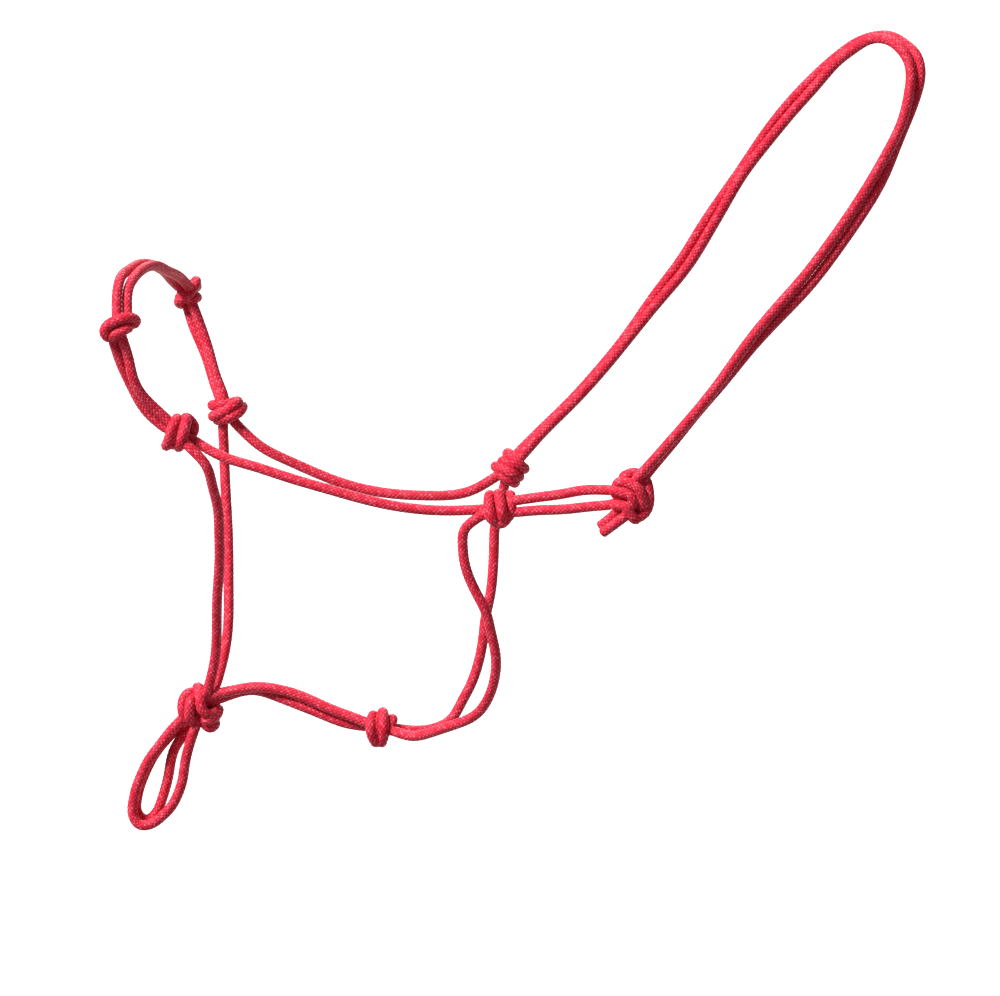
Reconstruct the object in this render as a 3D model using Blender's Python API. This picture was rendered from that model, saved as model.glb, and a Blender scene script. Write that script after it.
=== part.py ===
"""Rope halter: one length of braided rope, knotted into a noseband, cheeks, throatlatch and crown.

Frame, in metres: the origin is where the crown bears on the poll, the highest point that holds
the halter up. +X runs back along the head, from nose to poll, +Y to the off side (the horse's
right) and +Z up. The near side, where the crown is tied, is at -Y.

The real halter is one rope. Here each run of rope between two knots is a part, and so is each
knot, so that the halter can fold where its knots let it fold.
"""

import bpy
import numpy as np
from math import radians
from mathutils import Matrix, Vector

MM = 0.001
ROPE_DIAMETER = 6.2 * MM
ROPE_SIDES_RESOLUTION = 2
STEP_DIAMETERS = 2.0
BEND_STEP_DIAMETERS = 1.0

ROPE_RED = (0.680, 0.036, 0.075, 1.0)
ROPE_ROUGHNESS = 0.62

# Single ropes: points along the middle of the rope, in millimetres.
SINGLE_ROPES = {
    "cheek_rope_near": [
        (-416.5, -48.5, -252.5), (-402, -49.5, -259.5), (-383, -50, -264.5), (-360, -49, -271),
        (-333, -49, -277.5), (-312, -48, -282.5), (-291, -47, -286), (-270, -45, -287.5),
        (-254, -44, -287), (-242, -43, -286),
    ],
    "cheek_rope_off": [
        (-418, 50, -259.5), (-404, 50, -271), (-389, 50, -278), (-375, 50, -283.5),
        (-352, 49, -291), (-323, 48, -295.5), (-298, 47, -295.5), (-273, 46, -291.5),
        (-259, 45, -283.5),
    ],
    "chin_rope_near": [
        (-418, -55, -256), (-410, -54, -265), (-407.5, -49, -277.5), (-406, -43, -291),
        (-406.5, -37, -309), (-408, -31, -326), (-412, -22, -352), (-414.5, -14, -372),
        (-417, -9, -391), (-421, -6, -406),
    ],
    "chin_rope_off": [
        (-428, 50, -262), (-427.5, 50, -274), (-426, 47, -291), (-424, 43, -307),
        (-421.5, 37, -323), (-419.5, 31, -338), (-417.5, 24, -355), (-416, 18, -372),
        (-416.5, 11, -391), (-419, 5, -406),
    ],
    "throat_rope_near": [
        (-306, -3.5, -431.5), (-295, -7, -433), (-282, -12, -429.5), (-266, -18, -423),
        (-250, -24, -414.5), (-240.5, -30, -402), (-235.5, -35, -389), (-234, -39, -375),
        (-236, -42, -361), (-238.5, -45, -348), (-244.5, -47, -335), (-250, -49, -320),
        (-251.5, -50, -307), (-250, -51, -297.5), (-242, -51, -290),
    ],
    "throat_rope_off": [
        (-306, 3.5, -431), (-297, 6, -432), (-286, 10, -431), (-276.5, 15, -426),
        (-271, 20, -416), (-266.5, 24, -406), (-263, 28, -394), (-261, 32, -380),
        (-260, 35, -366), (-258, 38, -353), (-257, 41, -337), (-257, 43, -324),
        (-256.5, 44, -311), (-254, 45, -299), (-251.5, 45, -288.5),
    ],
}

# Doubled ropes: the middle of the pair in millimetres, the distance between the two ropes'
# middles in millimetres, and the turn in degrees of the pair about its own direction. At turn 0
# the ropes lie side by side along the pair's "across" direction.
DOUBLED_ROPES = {
    "noseband_near": {
        "strands": ("noseband_side_near_front", "noseband_side_near_back"),
        "across": (1, 0, 0),
        "points": [
            (-438, -52, -239, 6.6, -10), (-444.5, -54, -232.5, 6.8, -13),
            (-451, -57, -223, 6.8, -36), (-456, -60, -211, 6.8, -37),
            (-459, -62, -200, 6.8, -14), (-461, -64, -192, 6.8, -10),
        ],
    },
    "noseband_off": {
        "strands": ("noseband_side_off_front", "noseband_side_off_back"),
        "across": (1, 0, 0),
        "points": [
            (-431, 52, -238, 6.6, -57), (-435, 55, -230, 6.8, -60), (-439, 58, -220, 6.8, -57),
            (-444, 61, -209, 6.8, -46), (-448.5, 63, -199.5, 6.8, -38), (-452, 64.5, -191, 6.6, -42),
        ],
    },
    "noseband_bridge": {
        "strands": ("noseband_bridge_front", "noseband_bridge_back"),
        "across": (1, 0, 0),
        "points": [
            (-459, -65, -172.5, 6.8, 36), (-460, -61, -163, 6.8, 38), (-460.5, -53, -156, 6.8, 34),
            (-459.5, -39, -152, 6.8, 10), (-458.5, -23, -151, 6.8, 6), (-457, -5, -153, 6.8, 8),
            (-456, 14, -158.5, 6.8, 17), (-456, 33, -164.5, 6.8, 8), (-456, 47, -170.5, 6.8, -4),
            (-455, 56, -175.5, 6.8, 0),
        ],
    },
    "jaw": {
        "strands": ("jaw_rope_upper", "jaw_rope_lower"),
        "across": (0, 0, 1),
        "points": [
            (-414, 0, -414.5, 6.6, 58), (-406, 0, -412, 6.8, 68), (-394, 0, -410, 6.8, 61),
            (-380, 0, -412, 6.8, 35), (-366, 0, -416, 6.8, 20), (-351, 0, -421.5, 6.8, 27),
            (-337, 0, -426, 6.8, 31), (-327.5, 0, -428, 6.6, 50),
        ],
    },
    "tie_loop": {
        "strands": ("tie_loop_upper", "tie_loop_lower"),
        "across": (0, 0, 1),
        "points": [
            (-218, -45, -282.5, 7.2, 0), (-205, -45, -280.5, 8.0, 0), (-190, -45, -278.5, 9.4, 0),
            (-176, -45, -276, 10.2, 0), (-165, -45, -275, 9.4, 0),
        ],
    },
    "crown": {
        "strands": ("crown_rope_inner", "crown_rope_outer"),
        "across": (0, 1, 0),
        "points": [
            (-240, 45, -266, 6.6, 30), (-225.5, 44, -250.5, 6.8, 18), (-209.5, 42, -234.5, 6.8, 17),
            (-190.5, 40, -213.5, 6.8, 20), (-172.5, 37, -191.5, 6.8, 23), (-153.5, 34, -166.5, 6.8, 43),
            (-135, 31, -143, 6.8, 61), (-122.5, 28, -123.5, 6.8, 62), (-109.5, 26, -103, 6.8, 43),
            (-96.5, 23, -83.5, 6.8, 30), (-81.5, 20, -63, 6.8, 45), (-66.5, 17, -44.5, 6.8, 52),
            (-50, 14, -26.5, 6.8, 44), (-35.5, 11, -12, 6.8, 23), (-23.5, 8, -3, 6.8, 18),
            (-12, 5, 2.5, 6.8, 4), (-1, 2, 3, 6.8, 10), (7.5, -1, -1, 6.8, 20),
            (14, -4, -7, 6.8, 42), (17, -7, -16, 6.8, 46), (16, -10, -28, 6.8, 31),
            (12.5, -14, -42.5, 6.8, 12), (6.5, -17, -58, 6.8, 17), (-3, -21, -79, 6.8, 48),
            (-15, -24, -99.5, 6.8, 59), (-29, -27, -120.5, 6.8, 60), (-44, -31, -141, 6.8, 62),
            (-61.5, -34, -161, 6.8, 48), (-78.5, -37, -181.5, 6.8, 27), (-94, -39, -202.5, 6.8, 11),
            (-110, -41, -222.5, 6.8, 3), (-125, -43, -241, 6.8, 11), (-135, -44, -253, 6.6, 15),
            (-140, -45, -259, 6.6, 20),
        ],
    },
}

# The two lead loops: one bight of rope each, hanging from the fiador knot side by side.
LEAD_LOOPS = {
    "lead_loop_near": [
        (-440, -4, -431), (-446.5, -3.5, -438), (-453, -3.3, -446.5), (-460, -3.3, -456),
        (-464.5, -3.3, -465), (-468, -3.3, -474), (-470, -3.3, -483), (-470, -3.3, -490.5),
        (-466, -3.3, -496), (-459, -3.3, -495.5), (-452, -3.3, -490.5), (-446, -3.3, -484),
        (-442, -3.3, -476.5), (-439, -3.3, -467.5), (-437.5, -3.3, -458), (-435.5, -3.5, -449),
        (-433, -3.8, -441), (-431, -4, -435.5),
    ],
    "lead_loop_off": [
        (-441, 4, -432.5), (-447, 3.5, -440), (-453.5, 3.3, -447.5), (-459.5, 3.3, -456),
        (-464, 3.3, -465), (-467.5, 3.3, -474), (-469.5, 3.3, -483), (-469, 3.3, -490),
        (-464, 3.3, -494), (-458.5, 3.3, -491), (-455, 3.3, -485), (-452.5, 3.3, -477.5),
        (-450.5, 3.3, -470.5), (-449, 3.3, -463), (-447.5, 3.3, -455), (-444.5, 3.3, -447.5),
        (-440, 3.6, -441), (-436, 4, -435.5),
    ],
}

# The two cut ends that stick out of the tie knot.
TAILS = {
    "tail_upper": [(-157, -47, -283.5), (-162, -46.5, -288), (-167, -46.5, -292)],
    "tail_lower": [(-151.5, -52.5, -285.5), (-158, -52.5, -290.5), (-164, -52.5, -295)],
}

# Knots: the middle in millimetres, the half sizes of the packed rope inside, and the turns of
# rope that show on the outside. A turn is a ring that leans at an angle in degrees from +X
# towards +Z, with its own radius and its own shift along its axis, both in millimetres.
KNOTS = {
    "nose_knot_near": ((-461, -65, -182), (7.5, 6.5, 6.5), [(25, 8.6, 0)]),
    "nose_knot_off": ((-454, 65, -182), (6.5, 6.5, 6.5), [(40, 6.6, -2.0), (40, 5.6, 2.4)]),
    "cheek_knot_near": ((-428, -50, -247), (8.5, 8.0, 8.0), [(68, 7.4, 3.4), (68, 7.4, -3.4)]),
    "cheek_knot_off": ((-426, 50, -250), (8.5, 8.0, 7.5), [(20, 7.8, 3.2), (20, 7.8, -3.2)]),
    "throat_knot_near": ((-230, -45, -286), (8.0, 8.0, 8.0), [(82, 7.4, 3.3), (82, 7.4, -3.3)]),
    "throat_knot_off": ((-248, 45, -276), (8.0, 8.0, 8.0), [(-35, 8.0, 0), (62, 8.0, 0)]),
    "fiador_knot": (
        (-429, 0, -421), (11.5, 9.5, 11.0),
        [(45, 11.0, 3.4), (45, 11.0, -3.4), (-50, 10.5, 3.6), (-50, 10.5, -3.6)],
    ),
    "jaw_knot": ((-316.5, 0, -430), (6.5, 7.5, 7.5), [(84, 8.4, 3.6), (84, 8.4, -2.8)]),
    "tie_knot": (
        (-149, -45, -272), (9.5, 8.0, 11.0),
        [(70, 10.8, -3.4), (-20, 8.8, -5.0), (-20, 8.8, 3.5)],
    ),
}

# What turns with each hinge: the hinge's middle in millimetres, what it hangs on, and its pieces.
HINGES = {
    "face_hinge": {
        "middle": (-239, 0, -281),
        "hangs_on": None,
        "pieces": [
            "throat_knot_near", "throat_knot_off", "cheek_rope_near", "cheek_rope_off",
            "cheek_knot_near", "cheek_knot_off", "chin_rope_near", "chin_rope_off",
            "fiador_knot", "jaw_rope_upper", "jaw_rope_lower", "jaw_knot",
            "throat_rope_near", "throat_rope_off",
        ],
    },
    "noseband_hinge": {
        "middle": (-427, 0, -248.5),
        "hangs_on": "face_hinge",
        "pieces": [
            "noseband_side_near_front", "noseband_side_near_back", "noseband_side_off_front",
            "noseband_side_off_back", "nose_knot_near", "nose_knot_off",
            "noseband_bridge_front", "noseband_bridge_back",
        ],
    },
    "lead_loops_hinge": {
        "middle": (-429, 0, -421),
        "hangs_on": "face_hinge",
        "pieces": ["lead_loop_near", "lead_loop_off"],
    },
}


def clear_scene():
    for old in list(bpy.data.objects):
        bpy.data.objects.remove(old, do_unlink=True)


def new_collection(name):
    collection = bpy.data.collections.new(name)
    bpy.context.scene.collection.children.link(collection)
    return collection


def move_to(piece, collection):
    for old in list(piece.users_collection):
        old.objects.unlink(piece)
    collection.objects.link(piece)


def rope_material(name):
    """Dyed polyester braid: a satin red."""
    material = bpy.data.materials.new(name)
    material.use_nodes = True
    shader = material.node_tree.nodes["Principled BSDF"]
    shader.inputs["Base Color"].default_value = ROPE_RED
    shader.inputs["Roughness"].default_value = ROPE_ROUGHNESS
    shader.inputs["Metallic"].default_value = 0.0
    return material


def spline_slopes(knots, values):
    """The slopes of the natural cubic spline through values at knots."""
    spans = np.diff(knots)
    rises = np.diff(values, axis=0) / spans[:, None]
    size = len(knots)
    matrix = np.zeros((size, size))
    right = np.zeros_like(values)
    matrix[0, :2] = 2.0, 1.0
    matrix[-1, -2:] = 1.0, 2.0
    right[0] = 3.0 * rises[0]
    right[-1] = 3.0 * rises[-1]
    for i in range(1, size - 1):
        before, after = spans[i - 1], spans[i]
        matrix[i, i - 1:i + 2] = after, 2.0 * (before + after), before
        right[i] = 3.0 * (after * rises[i - 1] + before * rises[i])
    return np.linalg.solve(matrix, right)


def smooth_curve(points, fineness=24):
    """Many closely spaced rows on the natural cubic spline through the points."""
    points = np.array(points, dtype=float)
    gaps = np.linalg.norm(np.diff(points[:, :3], axis=0), axis=1)
    knots = np.concatenate([[0.0], np.cumsum(gaps)])
    slopes = spline_slopes(knots, points)
    rows = []
    for i, span in enumerate(gaps):
        t = np.linspace(0.0, 1.0, fineness, endpoint=False)[:, None]
        rows.append(
            (2 * t**3 - 3 * t**2 + 1) * points[i]
            + (t**3 - 2 * t**2 + t) * span * slopes[i]
            + (3 * t**2 - 2 * t**3) * points[i + 1]
            + (t**3 - t**2) * span * slopes[i + 1]
        )
    return np.vstack(rows + [points[-1:]])


def evenly_spaced(line, step):
    """Rows of the line at equal distances of about step, with both ends kept."""
    gaps = np.linalg.norm(np.diff(line[:, :3], axis=0), axis=1)
    along = np.concatenate([[0.0], np.cumsum(gaps)])
    count = max(3, round(along[-1] / step) + 1)
    wanted = np.linspace(0.0, along[-1], count)
    columns = [np.interp(wanted, along, line[:, i]) for i in range(line.shape[1])]
    return np.column_stack(columns)


def unit_rows(rows):
    return rows / np.linalg.norm(rows, axis=1)[:, None]


def twin_lines(points, across):
    """The two ropes' middle lines of a doubled rope, in millimetres."""
    pair = smooth_curve(points)
    middle, spacing, turn = pair[:, :3], pair[:, 3], np.radians(pair[:, 4])
    tangent = unit_rows(np.gradient(middle, axis=0))
    flat = np.array(across, dtype=float) - (tangent @ across)[:, None] * tangent
    flat = unit_rows(flat)
    upright = np.cross(tangent, flat)
    side = np.cos(turn)[:, None] * flat + np.sin(turn)[:, None] * upright
    offset = side * spacing[:, None] / 2
    return middle - offset, middle + offset


def rope(name, line, collection, step_diameters=STEP_DIAMETERS):
    """One run of rope along a line in millimetres, cut square at both ends."""
    points = evenly_spaced(line * MM, step_diameters * ROPE_DIAMETER)
    curve = bpy.data.curves.new(name, "CURVE")
    curve.dimensions = "3D"
    curve.bevel_depth = ROPE_DIAMETER / 2
    curve.bevel_resolution = ROPE_SIDES_RESOLUTION
    curve.use_fill_caps = True
    spline = curve.splines.new("POLY")
    spline.points.add(len(points) - 1)
    for target, point in zip(spline.points, points):
        target.co = (*point, 1.0)
    spline.use_smooth = True
    piece = bpy.data.objects.new(name, curve)
    piece.data.materials.append(rope_material(name))
    collection.objects.link(piece)
    return piece


def single_ropes(collection):
    for name, points in SINGLE_ROPES.items():
        rope(name, smooth_curve(points), collection)
    for name, points in LEAD_LOOPS.items():
        rope(name, smooth_curve(points), collection, BEND_STEP_DIAMETERS)
    for name, points in TAILS.items():
        rope(name, smooth_curve(points), collection)


def doubled_ropes(collection):
    for pair in DOUBLED_ROPES.values():
        lines = twin_lines(pair["points"], pair["across"])
        for name, line in zip(pair["strands"], lines):
            rope(name, line, collection)


def shape(piece, matrix):
    """Turn or scale a piece's own points, and shade it smooth."""
    piece.data.transform(matrix)
    piece.data.shade_smooth()


def knot_core(name, middle, half_sizes, collection):
    """The rope packed inside a knot, as one rounded lump."""
    bpy.ops.mesh.primitive_uv_sphere_add(segments=14, ring_count=8, radius=1.0)
    core = bpy.context.object
    core.name = core.data.name = name
    scale = Matrix.Diagonal([*(size * MM for size in half_sizes), 1.0])
    shape(core, scale)
    core.location = Vector(middle) * MM
    core.data.materials.append(rope_material(name))
    move_to(core, collection)
    return core


def knot_turn(name, middle, turn, collection):
    """One turn of rope round a knot, a ring that its core is joined to."""
    lean, radius, shift = turn
    bpy.ops.mesh.primitive_torus_add(
        major_segments=16, minor_segments=8,
        major_radius=radius * MM, minor_radius=ROPE_DIAMETER / 2,
    )
    ring = bpy.context.object
    ring.name = ring.data.name = name
    axis = Vector((-np.sin(radians(lean)), 0.0, np.cos(radians(lean))))
    shape(ring, axis.to_track_quat("Z", "Y").to_matrix().to_4x4())
    ring.location = (Vector(middle) + axis * shift) * MM
    ring.hide_render = True
    ring.display_type = "WIRE"
    move_to(ring, collection)
    return ring


def knots(collection, tools):
    for name, (middle, half_sizes, turns) in KNOTS.items():
        core = knot_core(name, middle, half_sizes, collection)
        for number, turn in enumerate(turns, start=1):
            ring = knot_turn(f"{name}_turn_{number}", middle, turn, tools)
            joined = core.modifiers.new(f"turn_{number}", "BOOLEAN")
            joined.operation = "UNION"
            joined.object = ring


def keep_place(piece, parent):
    """Parent a piece without moving it."""
    piece.parent = parent
    piece.matrix_parent_inverse = parent.matrix_world.inverted()


def hinges(collection):
    for name, hinge in HINGES.items():
        empty = bpy.data.objects.new(name, None)
        empty.empty_display_size = 20 * MM
        empty.location = Vector(hinge["middle"]) * MM
        collection.objects.link(empty)
        bpy.context.view_layer.update()
        if hinge["hangs_on"]:
            keep_place(empty, bpy.data.objects[hinge["hangs_on"]])
        bpy.context.view_layer.update()
        for piece in hinge["pieces"]:
            keep_place(bpy.data.objects[piece], empty)


def main():
    clear_scene()
    halter = new_collection("rope_halter")
    tools = new_collection("knot_turns")
    single_ropes(halter)
    doubled_ropes(halter)
    knots(halter, tools)
    hinges(halter)


main()
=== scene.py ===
"""Looks of the rope halter: braided red cord and its knots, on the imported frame.

Lengths in the tables are in millimetres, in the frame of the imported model: +X runs back from the
nose to the poll, +Y to the off side and +Z up. The origin is under the crown's top bend.
"""

import bpy
import numpy as np
from math import cos, pi, radians, sin
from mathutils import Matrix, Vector


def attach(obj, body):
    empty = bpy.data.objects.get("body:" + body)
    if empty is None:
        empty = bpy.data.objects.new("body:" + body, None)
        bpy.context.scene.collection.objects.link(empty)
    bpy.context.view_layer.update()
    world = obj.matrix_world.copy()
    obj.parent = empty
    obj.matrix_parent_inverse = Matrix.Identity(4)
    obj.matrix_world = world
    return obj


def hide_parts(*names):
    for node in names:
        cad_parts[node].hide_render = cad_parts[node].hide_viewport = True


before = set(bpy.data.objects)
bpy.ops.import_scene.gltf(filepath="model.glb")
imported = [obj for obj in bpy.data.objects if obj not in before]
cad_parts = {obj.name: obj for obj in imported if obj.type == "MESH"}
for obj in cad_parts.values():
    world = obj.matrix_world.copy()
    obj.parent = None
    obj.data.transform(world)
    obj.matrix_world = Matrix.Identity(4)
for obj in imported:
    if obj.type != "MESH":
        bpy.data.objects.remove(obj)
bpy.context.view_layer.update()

MM = 0.001
ROPE_DIAMETER = 6.2

# The braid: pairs of strands round the rope, and the length of rope that one pair takes.
BRAID_PAIRS = 8
BRAID_PERIOD = 2.7
SAMPLES_PER_PICK = 4
GROOVE_DEPTH = 0.34

# Pale filaments in each strand, and how far the pattern wanders, in braid periods.
FILAMENTS = 6
WANDER = 0.5

# How fine the noises are, in repeats per metre: the wander, the fibre grain and the slow drift of
# the dye.
WANDER_SCALE = 480.0
GRAIN_SCALE = 2600.0
DRIFT_SCALE = 55.0

# Roughness in the grooves and on the crowns of the strands, and the relief of the fine bump.
GROOVE_ROUGHNESS = 0.75
CROWN_ROUGHNESS = 0.38
BUMP_STRENGTH = 0.7
BUMP_DISTANCE = 0.0003

# The crowns of the strands stand this far out of the rope's middle thickness.
CROWN_RISE = 0.14

CAMERA_AZIMUTH = 15.0
CAMERA_ELEVATION = 10.0
CAMERA_TARGET = (-241.7, 0, -286.4)
CAMERA_DISTANCE = 20000
CAMERA_WIDTH = 600.5
SENSOR_WIDTH = 36.0

# How far the camera sees, and the side of the square floor, in metres.
CAMERA_REACH = 100.0
FLOOR_SIZE = 60.0

FLOOR_HEIGHT = -760
WORLD_STRENGTH = 0.24

# Each light's azimuth and elevation in degrees, its strength and its width in degrees.
KEY_LIGHT = (-44, 46, 5.2, 18)
BACK_LIGHT = (190, 40, 2.0, 40)

# Rope colours. The groove red is painted shade, put into the grooves between the picks where shade
# falls. The light red is a lighter tone of the dye, spread at random.
GROOVE_SHADE_RED = (0.24, 0.001, 0.006, 1.0)
BODY_RED = (0.78, 0.013, 0.044, 1.0)
LIGHT_RED = (0.94, 0.030, 0.08, 1.0)
# The sheen pink is a painted highlight, laid along the crowns of the picks.
PAINTED_SHEEN_PINK = (1.0, 0.22, 0.30, 1.0)

# Single ropes: points along the middle of the rope, in millimetres.
SINGLE_ROPES = {
    "cheek_rope_near": [
        (-416.5, -48.5, -252.5), (-402, -49.5, -259.5), (-383, -50, -264.5), (-360, -49, -271),
        (-333, -49, -277.5), (-312, -48, -282.5), (-291, -47, -286), (-270, -45, -287.5),
        (-254, -44, -287), (-242, -43, -286),
    ],
    "cheek_rope_off": [
        (-418, 50, -259.5), (-404, 50, -271), (-389, 50, -278), (-375, 50, -283.5),
        (-352, 49, -291), (-323, 48, -295.5), (-298, 47, -295.5), (-273, 46, -291.5),
        (-259, 45, -283.5),
    ],
    "chin_rope_near": [
        (-418, -55, -256), (-410, -54, -265), (-407.5, -49, -277.5), (-406, -43, -291),
        (-406.5, -37, -309), (-408, -31, -326), (-412, -22, -352), (-414.5, -14, -372),
        (-417, -9, -391), (-421, -6, -406),
    ],
    "chin_rope_off": [
        (-428, 50, -262), (-427.5, 50, -274), (-426, 47, -291), (-424, 43, -307),
        (-421.5, 37, -323), (-419.5, 31, -338), (-417.5, 24, -355), (-416, 18, -372),
        (-416.5, 11, -391), (-419, 5, -406),
    ],
    "throat_rope_near": [
        (-306, -3.5, -431.5), (-295, -7, -433), (-282, -12, -429.5), (-266, -18, -423),
        (-250, -24, -414.5), (-240.5, -30, -402), (-235.5, -35, -389), (-234, -39, -375),
        (-236, -42, -361), (-238.5, -45, -348), (-244.5, -47, -335), (-250, -49, -320),
        (-251.5, -50, -307), (-250, -51, -297.5), (-242, -51, -290),
    ],
    "throat_rope_off": [
        (-306, 3.5, -431), (-297, 6, -432), (-286, 10, -431), (-276.5, 15, -426),
        (-271, 20, -416), (-266.5, 24, -406), (-263, 28, -394), (-261, 32, -380),
        (-260, 35, -366), (-258, 38, -353), (-257, 41, -337), (-257, 43, -324),
        (-256.5, 44, -311), (-254, 45, -299), (-251.5, 45, -288.5),
    ],
}

# Doubled ropes: the middle of the pair in millimetres, the distance between the two ropes'
# middles in millimetres, and the turn in degrees of the pair about its own direction. At turn 0
# the ropes lie side by side along the pair's "across" direction.
DOUBLED_ROPES = {
    "noseband_near": {
        "strands": ("noseband_side_near_front", "noseband_side_near_back"),
        "across": (1, 0, 0),
        "points": [
            (-438, -52, -239, 6.6, -10), (-444.5, -54, -232.5, 6.8, -13),
            (-451, -57, -223, 6.8, -36), (-456, -60, -211, 6.8, -37),
            (-459, -62, -200, 6.8, -14), (-461, -64, -192, 6.8, -10),
        ],
    },
    "noseband_off": {
        "strands": ("noseband_side_off_front", "noseband_side_off_back"),
        "across": (1, 0, 0),
        "points": [
            (-431, 52, -238, 6.6, -57), (-435, 55, -230, 6.8, -60), (-439, 58, -220, 6.8, -57),
            (-444, 61, -209, 6.8, -46), (-448.5, 63, -199.5, 6.8, -38), (-452, 64.5, -191, 6.6, -42),
        ],
    },
    "noseband_bridge": {
        "strands": ("noseband_bridge_front", "noseband_bridge_back"),
        "across": (1, 0, 0),
        "points": [
            (-459, -65, -172.5, 6.8, 36), (-460, -61, -163, 6.8, 38), (-460.5, -53, -156, 6.8, 34),
            (-459.5, -39, -152, 6.8, 10), (-458.5, -23, -151, 6.8, 6), (-457, -5, -153, 6.8, 8),
            (-456, 14, -158.5, 6.8, 17), (-456, 33, -164.5, 6.8, 8), (-456, 47, -170.5, 6.8, -4),
            (-455, 56, -175.5, 6.8, 0),
        ],
    },
    "jaw": {
        "strands": ("jaw_rope_upper", "jaw_rope_lower"),
        "across": (0, 0, 1),
        "points": [
            (-414, 0, -414.5, 6.6, 58), (-406, 0, -412, 6.8, 68), (-394, 0, -410, 6.8, 61),
            (-380, 0, -412, 6.8, 35), (-366, 0, -416, 6.8, 20), (-351, 0, -421.5, 6.8, 27),
            (-337, 0, -426, 6.8, 31), (-327.5, 0, -428, 6.6, 50),
        ],
    },
    "tie_loop": {
        "strands": ("tie_loop_upper", "tie_loop_lower"),
        "across": (0, 0, 1),
        "points": [
            (-218, -45, -282.5, 7.2, 0), (-205, -45, -280.5, 8.0, 0), (-190, -45, -278.5, 9.4, 0),
            (-176, -45, -276, 10.2, 0), (-165, -45, -275, 9.4, 0),
        ],
    },
    "crown": {
        "strands": ("crown_rope_inner", "crown_rope_outer"),
        "across": (0, 1, 0),
        "points": [
            (-240, 45, -266, 6.6, 30), (-225.5, 44, -250.5, 6.8, 18), (-209.5, 42, -234.5, 6.8, 17),
            (-190.5, 40, -213.5, 6.8, 20), (-172.5, 37, -191.5, 6.8, 23), (-153.5, 34, -166.5, 6.8, 43),
            (-135, 31, -143, 6.8, 61), (-122.5, 28, -123.5, 6.8, 62), (-109.5, 26, -103, 6.8, 43),
            (-96.5, 23, -83.5, 6.8, 30), (-81.5, 20, -63, 6.8, 45), (-66.5, 17, -44.5, 6.8, 52),
            (-50, 14, -26.5, 6.8, 44), (-35.5, 11, -12, 6.8, 23), (-23.5, 8, -3, 6.8, 18),
            (-12, 5, 2.5, 6.8, 4), (-1, 2, 3, 6.8, 10), (7.5, -1, -1, 6.8, 20),
            (14, -4, -7, 6.8, 42), (17, -7, -16, 6.8, 46), (16, -10, -28, 6.8, 31),
            (12.5, -14, -42.5, 6.8, 12), (6.5, -17, -58, 6.8, 17), (-3, -21, -79, 6.8, 48),
            (-15, -24, -99.5, 6.8, 59), (-29, -27, -120.5, 6.8, 60), (-44, -31, -141, 6.8, 62),
            (-61.5, -34, -161, 6.8, 48), (-78.5, -37, -181.5, 6.8, 27), (-94, -39, -202.5, 6.8, 11),
            (-110, -41, -222.5, 6.8, 3), (-125, -43, -241, 6.8, 11), (-135, -44, -253, 6.6, 15),
            (-140, -45, -259, 6.6, 20),
        ],
    },
}

# The two lead loops: one bight of rope each, hanging from the fiador knot side by side.
LEAD_LOOPS = {
    "lead_loop_near": [
        (-440, -4, -431), (-446.5, -3.5, -438), (-453, -3.3, -446.5), (-460, -3.3, -456),
        (-464.5, -3.3, -465), (-468, -3.3, -474), (-470, -3.3, -483), (-470, -3.3, -490.5),
        (-466, -3.3, -496), (-459, -3.3, -495.5), (-452, -3.3, -490.5), (-446, -3.3, -484),
        (-442, -3.3, -476.5), (-439, -3.3, -467.5), (-437.5, -3.3, -458), (-435.5, -3.5, -449),
        (-433, -3.8, -441), (-431, -4, -435.5),
    ],
    "lead_loop_off": [
        (-441, 4, -432.5), (-447, 3.5, -440), (-453.5, 3.3, -447.5), (-459.5, 3.3, -456),
        (-464, 3.3, -465), (-467.5, 3.3, -474), (-469.5, 3.3, -483), (-469, 3.3, -490),
        (-464, 3.3, -494), (-458.5, 3.3, -491), (-455, 3.3, -485), (-452.5, 3.3, -477.5),
        (-450.5, 3.3, -470.5), (-449, 3.3, -463), (-447.5, 3.3, -455), (-444.5, 3.3, -447.5),
        (-440, 3.6, -441), (-436, 4, -435.5),
    ],
}

# The two cut ends that stick out of the tie knot.
TAILS = {
    "tail_upper": [(-157, -47, -283.5), (-162, -46.5, -288), (-167, -46.5, -292)],
    "tail_lower": [(-151.5, -52.5, -285.5), (-158, -52.5, -290.5), (-164, -52.5, -295)],
}

# The body of each rope and knot, and the rope thickness in the knots, which are pulled tight.
CROWN, FACE, NOSEBAND, LOOPS = "crown", "face", "noseband", "lead_loops"
KNOT_ROPE_DIAMETER = 6.4

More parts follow.
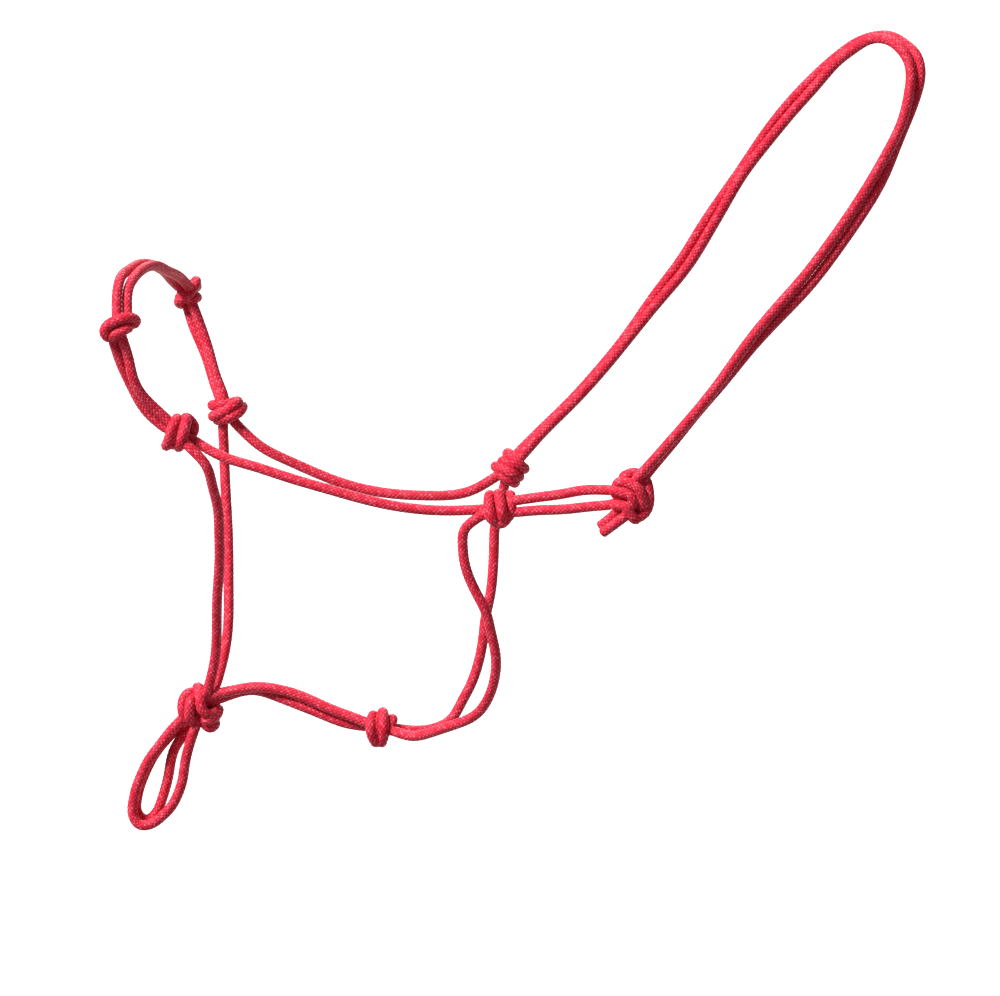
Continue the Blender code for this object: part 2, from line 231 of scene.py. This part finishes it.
# Where each rope ends: the knots that its two ends go into, and its body.
ROPE_ENDS = {
    "cheek_rope_near": ("cheek_knot_near", "throat_knot_near", FACE),
    "cheek_rope_off": ("cheek_knot_off", "throat_knot_off", FACE),
    "chin_rope_near": ("cheek_knot_near", "fiador_knot", FACE),
    "chin_rope_off": ("cheek_knot_off", "fiador_knot", FACE),
    "throat_rope_near": ("jaw_knot", "throat_knot_near", FACE),
    "throat_rope_off": ("jaw_knot", "throat_knot_off", FACE),
    "noseband_side_near_front": ("cheek_knot_near", "nose_knot_near", NOSEBAND),
    "noseband_side_near_back": ("cheek_knot_near", "nose_knot_near", NOSEBAND),
    "noseband_side_off_front": ("cheek_knot_off", "nose_knot_off", NOSEBAND),
    "noseband_side_off_back": ("cheek_knot_off", "nose_knot_off", NOSEBAND),
    "noseband_bridge_front": ("nose_knot_near", "nose_knot_off", NOSEBAND),
    "noseband_bridge_back": ("nose_knot_near", "nose_knot_off", NOSEBAND),
    "jaw_rope_upper": ("fiador_knot", "jaw_knot", FACE),
    "jaw_rope_lower": ("fiador_knot", "jaw_knot", FACE),
    "tie_loop_upper": ("throat_knot_near", "tie_knot", CROWN),
    "tie_loop_lower": ("throat_knot_near", "tie_knot", CROWN),
    "crown_rope_inner": ("throat_knot_off", "tie_knot", CROWN),
    "crown_rope_outer": ("throat_knot_off", "tie_knot", CROWN),
    "lead_loop_near": ("fiador_knot", "fiador_knot", LOOPS),
    "lead_loop_off": ("fiador_knot", "fiador_knot", LOOPS),
    "tail_upper": ("tie_knot", None, CROWN),
    "tail_lower": ("tie_knot", None, CROWN),
}

# Each knot: its body, its middle, and its turns of rope. A turn is a closed path, and its points
# are right of, above and in front of the knot's middle, as seen from the camera's side.
KNOTS = {
    "nose_knot_near": (NOSEBAND, (-461, -65, -182), [
        [(-6.6, -5.2, 1.5), (-8.6, -2.0, 4.0), (-6.4, 2.0, 5.5), (-1.6, 4.6, 7.0), (3.9, 6.1, 6.5),
         (8.6, 6.0, 3.0), (10.2, 4.0, -1.0), (6.9, 2.5, -5.5), (0.4, -0.5, -6.5), (-4.4, -4.2, -4.0)],
        [(9.6, 3.0, -2.0), (4.4, 1.8, 1.5), (-0.6, 0.0, 2.0), (-2.6, -1.2, -2.0), (3.4, 2.3, -5.0)],
        [(-4.0, -4.6, 3.0), (0.6, -2.2, 5.0), (5.6, 0.2, 4.0), (3.4, -0.6, -3.0), (-2.0, -3.4, -3.0)],
    ]),
    "nose_knot_off": (NOSEBAND, (-454, 65, -182), [
        [(-4.6, -6.0, 0.0), (-5.4, -4.4, 4.0), (-2.1, -2.4, 6.0), (1.5, 1.2, 6.8), (4.2, 5.4, 5.0),
         (4.8, 7.6, 1.0), (4.5, 5.5, -4.0), (1.5, 0.5, -6.5), (-2.0, -5.0, -5.0)],
        [(5.0, 4.4, -1.0), (2.6, 3.0, 2.5), (-2.0, 2.0, 1.5), (-2.0, 2.0, -4.0), (4.0, 4.0, -5.0)],
        [(5.0, -2.4, 0.0), (2.2, -3.0, 3.5), (-2.0, -2.0, 2.0), (-1.0, -2.0, -4.5), (4.5, -2.0, -4.5)],
        [(-5.0, -2.6, 2.0), (-2.6, 1.4, 4.6), (0.4, 5.4, 3.4), (2.0, 4.0, -2.5), (-3.0, -1.0, -2.5)],
    ]),
    "cheek_knot_near": (FACE, (-428, -50, -247), [
        [(-7.0, -6.6, 2.5), (-5.4, -2.0, 5.5), (-3.8, 3.0, 6.5), (-1.8, 7.2, 4.5), (-1.0, 8.9, 0.5),
         (-1.6, 6.6, -5.0), (-4.0, 1.0, -6.5), (-6.0, -4.0, -4.5), (-7.4, -7.2, -1.0)],
        [(0.0, -7.8, 2.0), (1.8, -3.6, 6.0), (3.4, 1.9, 7.0), (4.6, 7.0, 5.0), (4.4, 9.4, 1.0),
         (7.4, 7.2, -2.5), (9.2, 3.8, -2.5), (8.0, -0.4, -4.0), (3.6, -4.8, -5.0), (0.6, -7.6, -2.0)],
        [(-4.0, -6.6, 0.5), (-1.8, -2.0, 4.0), (0.0, 3.0, 4.6), (1.4, 6.6, 1.5), (0.0, 2.0, -3.5)],
    ]),
    "cheek_knot_off": (FACE, (-426, 50, -250), [
        [(-8.0, -3.2, 0.5), (-5.0, -1.8, 5.0), (0.2, 0.3, 7.0), (4.6, 3.4, 6.0), (7.0, 5.6, 1.5),
         (4.0, 5.0, -4.0), (-1.0, 2.0, -6.0), (-6.0, -2.0, -4.5)],
        [(-8.2, 3.4, 1.0), (-4.0, 3.2, 4.0), (1.0, 4.5, 3.0), (3.0, 5.0, -2.0), (-2.0, 4.5, -5.0),
         (-7.0, 3.5, -3.0)],
        [(-4.6, -5.4, 1.0), (1.4, -4.0, 6.0), (6.4, -1.8, 6.0), (9.2, 1.0, 2.5), (9.6, 2.8, -1.5),
         (6.0, 1.0, -5.5), (0.0, -2.4, -6.0), (-4.6, -5.0, -3.0)],
    ]),
    "throat_knot_near": (FACE, (-230, -45, -286), [
        [(-6.0, 9.0, 2.0), (-6.5, 4.0, 5.5), (-5.5, -1.0, 7.0), (-3.5, -5.5, 6.0), (-1.0, -7.2, 2.5),
         (-1.0, -4.0, -5.0), (-3.0, 3.0, -6.5), (-5.0, 8.5, -3.0)],
        [(-0.5, 10.0, 2.0), (0.5, 4.5, 6.0), (1.5, -1.0, 7.0), (2.0, -5.0, 5.0), (1.5, -7.4, 1.0),
         (2.0, -3.0, -5.0), (1.5, 4.0, -6.5), (0.0, 9.0, -3.0)],
        [(6.5, 9.5, 0.0), (7.2, 5.0, 3.0), (6.8, 0.0, 3.0), (5.5, -3.5, 0.0), (5.0, 0.0, -5.0),
         (6.0, 6.0, -5.0)],
        [(-7.0, -1.0, 3.0), (-4.6, -5.0, 4.0), (-1.0, -7.6, 4.6), (2.8, -6.6, 4.0), (5.0, -2.6, 3.0),
         (2.0, 1.0, -2.0), (-3.0, 1.0, -3.0)],
    ]),
    "throat_knot_off": (FACE, (-248, 45, -276), [
        [(-8.0, 0.8, 1.0), (-3.8, -1.0, 5.5), (1.0, -3.2, 7.0), (4.6, -4.8, 4.0), (6.0, -5.2, 0.0),
         (3.6, -3.0, -5.0), (-1.8, -1.0, -6.0), (-6.6, 0.6, -3.5)],
        [(-0.4, 8.8, 1.0), (2.8, 5.6, 6.0), (6.2, 2.2, 6.5), (9.2, -0.5, 2.0), (7.0, 1.4, -4.0),
         (1.6, 5.4, -6.0), (-1.0, 8.0, -3.0)],
        [(-4.0, 4.0, 1.0), (-0.6, 3.4, 4.6), (2.6, 0.6, 4.6), (1.0, 1.0, -3.0), (-3.0, 3.0, -3.0)],
        [(-6.0, -3.0, 2.0), (-2.0, -6.0, 5.0), (2.5, -8.5, 3.0), (3.0, -8.5, -2.0), (-2.0, -5.0, -5.0)],
    ]),
    "fiador_knot": (FACE, (-429, 0, -421), [
        [(-1.0, 6.0, 2.0), (-6.0, 6.8, 4.5), (-9.0, 4.2, 4.5), (-10.4, -0.3, 4.0), (-10.0, -5.8, 3.0),
         (-8.2, -9.4, 0.5), (-4.6, -7.0, -4.0), (-1.0, 0.0, -5.0)],
        [(-1.4, 9.9, 1.0), (-0.7, 5.5, 6.0), (0.3, 0.8, 8.5), (1.6, -3.4, 8.0), (4.6, -6.0, 6.5),
         (8.4, -5.6, 3.0), (9.5, -2.0, -2.0), (6.0, 3.0, -6.0), (1.0, 8.0, -5.0)],
        [(1.8, -8.5, 2.0), (4.5, -9.8, 5.0), (8.0, -8.8, 4.0), (10.5, -6.0, 1.0), (11.0, -3.0, -3.0),
         (6.0, -4.0, -6.0), (1.0, -7.0, -3.0)],
        [(2.5, -11.0, 1.0), (6.0, -14.2, 1.5), (9.2, -12.0, -0.5), (7.0, -8.0, -4.0), (3.0, -8.0, -3.0)],
        [(-3.0, 4.0, 5.0), (-5.5, 1.5, 7.5), (-6.0, -3.0, 7.5), (-6.0, -8.5, 5.0), (-3.5, -10.0, 1.0),
         (-1.0, -6.0, -4.0), (0.0, 2.0, -5.0)],
    ]),
    "jaw_knot": (FACE, (-316.5, 0, -430), [
        [(-4.0, 7.2, 2.0), (-5.4, 4.0, 5.0), (-5.6, -0.4, 6.5), (-4.6, -5.4, 5.0), (-2.4, -9.0, 1.5),
         (-3.0, -5.0, -5.0), (-4.5, 0.0, -6.5), (-4.5, 5.0, -4.0)],
        [(1.6, 9.1, 1.0), (2.0, 5.6, 5.5), (2.3, 0.0, 7.0), (2.3, -4.8, 5.5), (1.0, -9.0, 1.5),
         (2.0, -5.0, -5.0), (3.0, 0.0, -6.5), (2.5, 6.0, -4.5)],
        [(7.5, 4.8, 1.0), (6.5, 1.0, 3.5), (5.0, -2.0, 2.0), (5.0, 0.0, -4.0), (7.0, 4.0, -4.0)],
        [(-1.4, 6.6, 1.0), (-1.6, 3.0, 4.2), (-1.6, -3.0, 4.2), (-0.8, -6.8, 1.0), (-1.0, 0.0, -3.5)],
    ]),
    "tie_knot": (CROWN, (-149, -45, -272), [
        [(-4.0, 9.6, 0.0), (-1.6, 11.4, 3.0), (1.8, 12.6, 3.5), (6.4, 11.2, 3.0), (9.9, 7.0, 2.5),
         (11.2, 0.8, 3.0), (11.3, -5.2, 2.5), (9.2, -10.8, 1.5), (4.4, -14.0, 1.0), (-1.0, -12.0, -1.0),
         (-5.0, -6.0, -4.0), (-5.0, 2.0, -5.0)],
        [(-8.0, 4.4, 1.0), (-7.0, 6.6, 4.0), (-3.8, 7.2, 6.0), (0.6, 5.6, 7.0), (4.6, 3.2, 7.5),
         (6.8, -1.3, 6.5), (7.6, -6.5, 4.0), (4.0, -8.0, -1.0), (-2.0, -3.0, -3.0), (-7.0, 2.0, -2.0)],
        [(-9.5, 1.8, 3.0), (-4.3, 1.0, 6.0), (0.5, -1.5, 7.0), (1.5, -6.0, 5.5), (-2.0, -8.5, 2.0),
         (-6.0, -3.0, 0.0)],
        [(-9.0, -6.8, 3.0), (-3.4, -7.6, 6.0), (-0.6, -11.4, 5.5), (3.2, -15.2, 3.0), (5.0, -11.0, -3.0),
         (-4.0, -6.0, -4.0)],
        [(2.0, 9.0, 1.0), (6.6, 7.0, 2.0), (8.4, 1.5, 2.0), (8.4, -4.5, 1.0), (6.0, 2.0, -3.0)],
    ]),
}


def spline_slopes(knots, values):
    """The slopes of the natural cubic spline through values at knots."""
    spans = np.diff(knots)
    rises = np.diff(values, axis=0) / spans[:, None]
    size = len(knots)
    matrix = np.zeros((size, size))
    right = np.zeros_like(values)
    matrix[0, :2] = 2.0, 1.0
    matrix[-1, -2:] = 1.0, 2.0
    right[0] = 3.0 * rises[0]
    right[-1] = 3.0 * rises[-1]
    for i in range(1, size - 1):
        before, after = spans[i - 1], spans[i]
        matrix[i, i - 1:i + 2] = after, 2.0 * (before + after), before
        right[i] = 3.0 * (after * rises[i - 1] + before * rises[i])
    return np.linalg.solve(matrix, right)


def smooth_curve(points, fineness=24):
    """Many closely spaced rows on the natural cubic spline through the points."""
    points = np.array(points, dtype=float)
    gaps = np.linalg.norm(np.diff(points[:, :3], axis=0), axis=1)
    knots = np.concatenate([[0.0], np.cumsum(gaps)])
    slopes = spline_slopes(knots, points)
    rows = []
    for i, span in enumerate(gaps):
        t = np.linspace(0.0, 1.0, fineness, endpoint=False)[:, None]
        rows.append(
            (2 * t**3 - 3 * t**2 + 1) * points[i]
            + (t**3 - 2 * t**2 + t) * span * slopes[i]
            + (3 * t**2 - 2 * t**3) * points[i + 1]
            + (t**3 - t**2) * span * slopes[i + 1]
        )
    return np.vstack(rows + [points[-1:]])


def evenly_spaced(line, step):
    """Rows of the line at equal distances of about step, with both ends kept."""
    gaps = np.linalg.norm(np.diff(line[:, :3], axis=0), axis=1)
    along = np.concatenate([[0.0], np.cumsum(gaps)])
    count = max(3, round(along[-1] / step) + 1)
    wanted = np.linspace(0.0, along[-1], count)
    columns = [np.interp(wanted, along, line[:, i]) for i in range(line.shape[1])]
    return np.column_stack(columns)


def unit_rows(rows):
    return rows / np.linalg.norm(rows, axis=1)[:, None]


def twin_lines(points, across):
    """The two ropes' middle lines of a doubled rope, in millimetres."""
    pair = smooth_curve(points)
    middle, spacing, turn = pair[:, :3], pair[:, 3], np.radians(pair[:, 4])
    tangent = unit_rows(np.gradient(middle, axis=0))
    flat = np.array(across, dtype=float) - (tangent @ across)[:, None] * tangent
    flat = unit_rows(flat)
    upright = np.cross(tangent, flat)
    side = np.cos(turn)[:, None] * flat + np.sin(turn)[:, None] * upright
    offset = side * spacing[:, None] / 2
    return middle - offset, middle + offset


def closed_curve(points, fineness=16):
    """Closely spaced rows on a smooth closed curve, which starts and ends at its back."""
    points = np.array(points, dtype=float)
    points = np.roll(points, -int(np.argmin(points[:, 2])), axis=0)
    after = np.roll(points, -1, axis=0)
    slopes = (after - np.roll(points, 1, axis=0)) / 2
    next_slopes = np.roll(slopes, -1, axis=0)
    t = np.linspace(0.0, 1.0, fineness, endpoint=False)[:, None]
    rows = [
        (2 * t**3 - 3 * t**2 + 1) * points[i]
        + (t**3 - 2 * t**2 + t) * slopes[i]
        + (3 * t**2 - 2 * t**3) * after[i]
        + (t**3 - t**2) * next_slopes[i]
        for i in range(len(points))
    ]
    return np.vstack(rows + [points[:1]])


def carried_frames(line):
    """Two unit rows square to the line at every point, carried along it without twisting."""
    tangents = unit_rows(np.gradient(line, axis=0))
    side = np.cross(tangents[0], (0.31, 0.87, 0.38))
    sides = []
    for tangent in tangents:
        side = side - np.dot(side, tangent) * tangent
        side = side / np.linalg.norm(side)
        sides.append(side)
    sides = np.array(sides)
    return tangents, sides, np.cross(tangents, sides)


def pick_height(p, q):
    """How high the braid stands, 0 to 1, where strands of one way number p and of the other q."""
    cell_p, cell_q = np.floor(p), np.floor(q)
    part_p, part_q = p - cell_p, q - cell_q
    over = (cell_p + cell_q) % 2 < 0.5
    across = np.where(over, part_q, part_p)
    along = np.where(over, part_p, part_q)
    rounded = np.sqrt(np.clip(np.sin(pi * across), 0.0, 1.0))
    return rounded * (0.45 + 0.55 * np.clip(np.sin(pi * along), 0.0, 1.0))


def rope_geometry(line, diameter):
    """Points, faces and UVs of a rope along a line, with its strands in relief and round ends.

    U and V count braid periods, round the rope and along it.
    """
    line = evenly_spaced(line, BRAID_PERIOD / SAMPLES_PER_PICK)
    tangents, sides, ups = carried_frames(line)
    rings, corners = len(line), BRAID_PAIRS * SAMPLES_PER_PICK
    angles = np.arange(corners) * 2 * pi / corners
    v = np.arange(rings) / SAMPLES_PER_PICK
    u = np.arange(corners) / SAMPLES_PER_PICK
    height = pick_height(u[None, :] + v[:, None], u[None, :] - v[:, None])
    radius = diameter / 2 + CROWN_RISE - GROOVE_DEPTH * (1.0 - height)
    outward = (
        np.cos(angles)[None, :, None] * sides[:, None, :]
        + np.sin(angles)[None, :, None] * ups[:, None, :]
    )
    body = line[:, None, :] + radius[:, :, None] * outward
    cap_widths, cap_lengths = np.array([0.45, 0.8]), np.array([0.42, 0.26])
    half = diameter / 2
    first = [
        line[0] - tangents[0] * length * half + outward[0] * width * half
        for width, length in zip(cap_widths, cap_lengths)
    ]
    last = [
        line[-1] + tangents[-1] * length * half + outward[-1] * width * half
        for width, length in zip(cap_widths[::-1], cap_lengths[::-1])
    ]
    points = np.concatenate([first, body, last])
    v = np.concatenate([[v[0] - 0.5, v[0] - 0.25], v, [v[-1] + 0.25, v[-1] + 0.5]])
    tips = [line[0] - tangents[0] * 0.5 * half, line[-1] + tangents[-1] * 0.5 * half]
    return grid_geometry(points, u, v, tips)


def grid_geometry(points, u, v, tips):
    """Faces and UVs over rings of points, closed round each ring and to a tip at each end."""
    rings, corners = points.shape[:2]
    row = np.arange(rings - 1)[:, None] * corners
    here = np.arange(corners)[None, :]
    beside = (here + 1) % corners
    quads = np.stack([row + here, row + beside, row + corners + beside, row + corners + here], -1)
    quads = quads.reshape(-1, 4)
    step = u[1] - u[0]
    low_u = np.broadcast_to(u[None, :], (rings - 1, corners))
    low_v = np.broadcast_to(v[:-1, None], (rings - 1, corners))
    high_v = np.broadcast_to(v[1:, None], (rings - 1, corners))
    uv = np.stack([
        np.stack([low_u, low_v], -1), np.stack([low_u + step, low_v], -1),
        np.stack([low_u + step, high_v], -1), np.stack([low_u, high_v], -1),
    ], 2).reshape(-1, 4, 2)
    vertices = np.vstack([points.reshape(-1, 3), tips])
    start_tip, end_tip = len(vertices) - 2, len(vertices) - 1
    end_row = (rings - 1) * corners
    triangles, triangle_uv = [], []
    for i in range(corners):
        j = (i + 1) % corners
        triangles.append((start_tip, j, i))
        triangle_uv.append(((u[i], v[0] - 0.2), (u[i] + step, v[0]), (u[i], v[0])))
        triangles.append((end_tip, end_row + i, end_row + j))
        triangle_uv.append(((u[i], v[-1] + 0.2), (u[i], v[-1]), (u[i] + step, v[-1])))
    faces = [tuple(quad) for quad in quads.tolist()] + triangles
    uvs = np.concatenate([uv.reshape(-1, 2), np.array(triangle_uv).reshape(-1, 2)])
    return vertices, faces, uvs


def rope_piece(name, lines, diameter, material):
    """One mesh of one or more ropes along lines in millimetres."""
    vertices, faces, uvs = [], [], []
    count = 0
    for line in lines:
        part_vertices, part_faces, part_uvs = rope_geometry(line, diameter)
        vertices.append(part_vertices)
        faces += [tuple(index + count for index in face) for face in part_faces]
        uvs.append(part_uvs)
        count += len(part_vertices)
    mesh = bpy.data.meshes.new(name)
    mesh.from_pydata((np.vstack(vertices) * MM).tolist(), [], faces)
    layer = mesh.uv_layers.new(name="braid")
    layer.data.foreach_set("uv", np.vstack(uvs).ravel())
    mesh.shade_smooth()
    mesh.materials.append(material)
    mesh.update()
    piece = bpy.data.objects.new(name, mesh)
    bpy.context.scene.collection.objects.link(piece)
    return piece


class Nodes:
    """Short ways to add nodes to a material."""

    def __init__(self, material):
        self.tree = material.node_tree

    def add(self, kind, **settings):
        node = self.tree.nodes.new(kind)
        for key, value in settings.items():
            setattr(node, key, value)
        return node

    def link(self, source, target):
        self.tree.links.new(source, target)

    def math(self, operation, *values):
        node = self.add("ShaderNodeMath", operation=operation)
        for socket, value in zip(node.inputs, values):
            if isinstance(value, (int, float)):
                socket.default_value = value
            else:
                self.link(value, socket)
        return node.outputs[0]

    def mix(self, factor, low, high):
        """A number between low and high."""
        node = self.add("ShaderNodeMix", data_type="FLOAT")
        for socket, value in zip((node.inputs[0], node.inputs[2], node.inputs[3]), (factor, low, high)):
            if isinstance(value, (int, float)):
                socket.default_value = value
            else:
                self.link(value, socket)
        return node.outputs[0]

    def mix_colour(self, factor, low, high):
        node = self.add("ShaderNodeMix", data_type="RGBA")
        for socket, value in zip((node.inputs[0], node.inputs[6], node.inputs[7]), (factor, low, high)):
            if isinstance(value, (int, float, tuple)):
                socket.default_value = value
            else:
                self.link(value, socket)
        return node.outputs[2]


def braid_cells(nodes):
    """The place across and along a strand, 0 to 1, and each pick's own chance number."""
    uv = nodes.add("ShaderNodeUVMap", uv_map="braid").outputs[0]
    split = nodes.add("ShaderNodeSeparateXYZ")
    nodes.link(uv, split.inputs[0])
    wander = nodes.add("ShaderNodeTexNoise")
    wander.inputs["Scale"].default_value = WANDER_SCALE
    wander.inputs["Detail"].default_value = 1.0
    nodes.link(nodes.add("ShaderNodeTexCoord").outputs["Object"], wander.inputs["Vector"])
    wandered = nodes.add("ShaderNodeSeparateXYZ")
    nodes.link(wander.outputs["Color"], wandered.inputs[0])
    u, v = (
        nodes.math("ADD", place, nodes.math("MULTIPLY_ADD", noise, WANDER, -WANDER / 2))
        for place, noise in zip(split.outputs[:2], wandered.outputs[:2])
    )
    p = nodes.math("ADD", u, v)
    q = nodes.math("SUBTRACT", u, v)
    cell_p, cell_q = nodes.math("FLOOR", p), nodes.math("FLOOR", q)
    part_p, part_q = nodes.math("FRACT", p), nodes.math("FRACT", q)
    under = nodes.math("FLOORED_MODULO", nodes.math("ADD", cell_p, cell_q), 2.0)
    across = nodes.mix(under, part_q, part_p)
    along = nodes.mix(under, part_p, part_q)
    cell = nodes.add("ShaderNodeCombineXYZ")
    nodes.link(cell_p, cell.inputs[0])
    nodes.link(cell_q, cell.inputs[1])
    chance = nodes.add("ShaderNodeTexWhiteNoise", noise_dimensions="3D")
    nodes.link(cell.outputs[0], chance.inputs[0])
    return across, along, chance.outputs["Value"]


def braid_material():
    """Dyed polyester cord: tight crimson picks, with painted shade in their grooves and a painted pale
    highlight along their crowns.
    """
    material = bpy.data.materials.new("braided_polyester_red")
    material.use_nodes = True
    nodes = Nodes(material)
    shader = material.node_tree.nodes["Principled BSDF"]
    across, along, chance = braid_cells(nodes)
    crown = nodes.math("SINE", nodes.math("MULTIPLY", across, pi))
    middle = nodes.math("SINE", nodes.math("MULTIPLY", along, pi))
    height = nodes.math("MULTIPLY", nodes.math("SQRT", crown), nodes.mix(middle, 0.4, 1.0))

    filaments = nodes.math("SINE", nodes.math("MULTIPLY", across, 2 * pi * FILAMENTS))
    place = nodes.add("ShaderNodeTexCoord").outputs["Object"]
    grain = nodes.add("ShaderNodeTexNoise")
    grain.inputs["Scale"].default_value = GRAIN_SCALE
    grain.inputs["Detail"].default_value = 2.0
    nodes.link(place, grain.inputs["Vector"])
    drift = nodes.add("ShaderNodeTexNoise")
    drift.inputs["Scale"].default_value = DRIFT_SCALE
    nodes.link(place, drift.inputs["Vector"])

    # Painted shade: the colour darkens from the body red to the groove red where the picks sink into the
    # grooves between them.
    body = nodes.mix_colour(height, GROOVE_SHADE_RED, BODY_RED)
    tone = nodes.math(
        "ADD", nodes.math("MULTIPLY", chance, 0.45), nodes.math("MULTIPLY", drift.outputs[0], 0.55)
    )
    body = nodes.mix_colour(nodes.math("MULTIPLY", tone, 0.6), body, LIGHT_RED)
    # Painted highlight: a pale pink streak along the crown of each pick, stronger on picks chosen at
    # random, stands in for the sheen of the filaments.
    painted_highlight = nodes.math("POWER", crown, 3.0)
    painted_highlight = nodes.math("MULTIPLY", painted_highlight, nodes.math("POWER", middle, 0.8))
    highlight_chance = nodes.math("MULTIPLY_ADD", nodes.math("POWER", chance, 2.2), 0.95, 0.04)
    painted_highlight = nodes.math("MULTIPLY", painted_highlight, highlight_chance)
    colour = nodes.mix_colour(painted_highlight, body, PAINTED_SHEEN_PINK)
    nodes.link(colour, shader.inputs["Base Color"])

    nodes.link(nodes.mix(height, GROOVE_ROUGHNESS, CROWN_ROUGHNESS), shader.inputs["Roughness"])
    shader.inputs["Specular IOR Level"].default_value = 0.35
    shader.inputs["Specular Tint"].default_value = (1.0, 0.42, 0.48, 1.0)
    shader.inputs["Sheen Weight"].default_value = 0.02
    shader.inputs["Sheen Roughness"].default_value = 0.45
    shader.inputs["Sheen Tint"].default_value = (1.0, 0.38, 0.44, 1.0)

    relief = nodes.math("ADD", height, nodes.math("MULTIPLY", filaments, 0.06))
    relief = nodes.math("ADD", relief, nodes.math("MULTIPLY", grain.outputs[0], 0.12))
    bump = nodes.add("ShaderNodeBump")
    bump.inputs["Strength"].default_value = BUMP_STRENGTH
    bump.inputs["Distance"].default_value = BUMP_DISTANCE
    nodes.link(relief, bump.inputs["Height"])
    nodes.link(bump.outputs[0], shader.inputs["Normal"])
    return material


def rope_lines():
    """The middle line of every rope, in millimetres."""
    lines = {name: smooth_curve(points) for name, points in SINGLE_ROPES.items()}
    lines |= {name: smooth_curve(points) for name, points in LEAD_LOOPS.items()}
    lines |= {name: smooth_curve(points) for name, points in TAILS.items()}
    for pair in DOUBLED_ROPES.values():
        lines |= dict(zip(pair["strands"], twin_lines(pair["points"], pair["across"])))
    return lines


def into_knot(line, knot):
    """The line carried on past its last point, straight at first, to the middle of a knot."""
    end = line[-1]
    heading = unit_rows(line[-1:] - line[-2:-1])[0]
    middle = np.array(KNOTS[knot][1], dtype=float)
    corner = end + heading * np.linalg.norm(middle - end) / 2
    t = np.linspace(0.0, 1.0, 13)[1:, None]
    return np.vstack([line, (1 - t)**2 * end + 2 * t * (1 - t) * corner + t**2 * middle])


def between_knots(line, start_knot, end_knot):
    """The line with its ends carried on into the knots they go into."""
    if start_knot:
        line = into_knot(line[::-1], start_knot)[::-1]
    if end_knot:
        line = into_knot(line, end_knot)
    return line


def make_ropes(material):
    for name, line in rope_lines().items():
        start_knot, end_knot, body = ROPE_ENDS[name]
        line = between_knots(line, start_knot, end_knot)
        piece = rope_piece(f"{name}_braid", [line], ROPE_DIAMETER, material)
        finish_piece(piece, name, body)


def camera_axes():
    """Unit rows pointing right of, above and in front of the object, as the camera sees it."""
    a, e = radians(CAMERA_AZIMUTH), radians(CAMERA_ELEVATION)
    right = (cos(a), sin(a), 0.0)
    above = (-sin(a) * sin(e), cos(a) * sin(e), cos(e))
    front = (sin(a) * cos(e), -cos(a) * cos(e), sin(e))
    return np.array([right, above, front])


def make_knots(material):
    axes = camera_axes()
    for name, (body, middle, turns) in KNOTS.items():
        lines = [closed_curve(turn) @ axes + np.array(middle, dtype=float) for turn in turns]
        piece = rope_piece(f"{name}_braid", lines, KNOT_ROPE_DIAMETER, material)
        finish_piece(piece, name, body)


def finish_piece(piece, node, body):
    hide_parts(node)
    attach(piece, body)


def make_camera():
    data = bpy.data.cameras.new("camera")
    data.sensor_width = SENSOR_WIDTH
    data.lens = SENSOR_WIDTH * CAMERA_DISTANCE / CAMERA_WIDTH
    data.clip_end = CAMERA_REACH
    camera = bpy.data.objects.new("camera", data)
    front = Vector(camera_axes()[2])
    camera.location = (Vector(CAMERA_TARGET) + front * CAMERA_DISTANCE) * MM
    camera.rotation_euler = front.to_track_quat("Z", "Y").to_euler()
    bpy.context.scene.collection.objects.link(camera)
    bpy.context.scene.camera = camera


def make_light(name, azimuth, elevation, strength, width):
    """A soft light from far away, as a large bright panel at that azimuth and elevation gives."""
    data = bpy.data.lights.new(name, "SUN")
    data.energy = strength
    data.angle = radians(width)
    light = bpy.data.objects.new(name, data)
    a, e = radians(azimuth), radians(elevation)
    direction = Vector((sin(a) * cos(e), -cos(a) * cos(e), sin(e)))
    light.rotation_euler = direction.to_track_quat("Z", "Y").to_euler()
    bpy.context.scene.collection.objects.link(light)


def make_studio():
    world = bpy.data.worlds.new("studio")
    world.use_nodes = True
    background = world.node_tree.nodes["Background"]
    background.inputs["Color"].default_value = (1.0, 1.0, 1.0, 1.0)
    background.inputs["Strength"].default_value = WORLD_STRENGTH
    bpy.context.scene.world = world
    bpy.context.scene.view_settings.view_transform = "Standard"
    make_light("key", *KEY_LIGHT)
    make_light("back", *BACK_LIGHT)


def make_floor():
    """A plain pale floor. It throws no light back up, so the rope's far sides stay dark."""
    size = FLOOR_SIZE / 2
    mesh = bpy.data.meshes.new("floor")
    corners = [(-size, -size, 0), (size, -size, 0), (size, size, 0), (-size, size, 0)]
    mesh.from_pydata(corners, [], [(0, 1, 2, 3)])
    material = bpy.data.materials.new("floor_white")
    material.use_nodes = True
    shader = material.node_tree.nodes["Principled BSDF"]
    shader.inputs["Base Color"].default_value = (0.93, 0.93, 0.93, 1.0)
    shader.inputs["Roughness"].default_value = 0.9
    shader.inputs["Specular IOR Level"].default_value = 0.1
    mesh.materials.append(material)
    floor = bpy.data.objects.new("floor", mesh)
    floor.location = (0, 0, FLOOR_HEIGHT * MM)
    floor.visible_diffuse = False
    bpy.context.scene.collection.objects.link(floor)


def main():
    make_camera()
    material = braid_material()
    make_ropes(material)
    make_knots(material)
    make_studio()
    make_floor()


main()
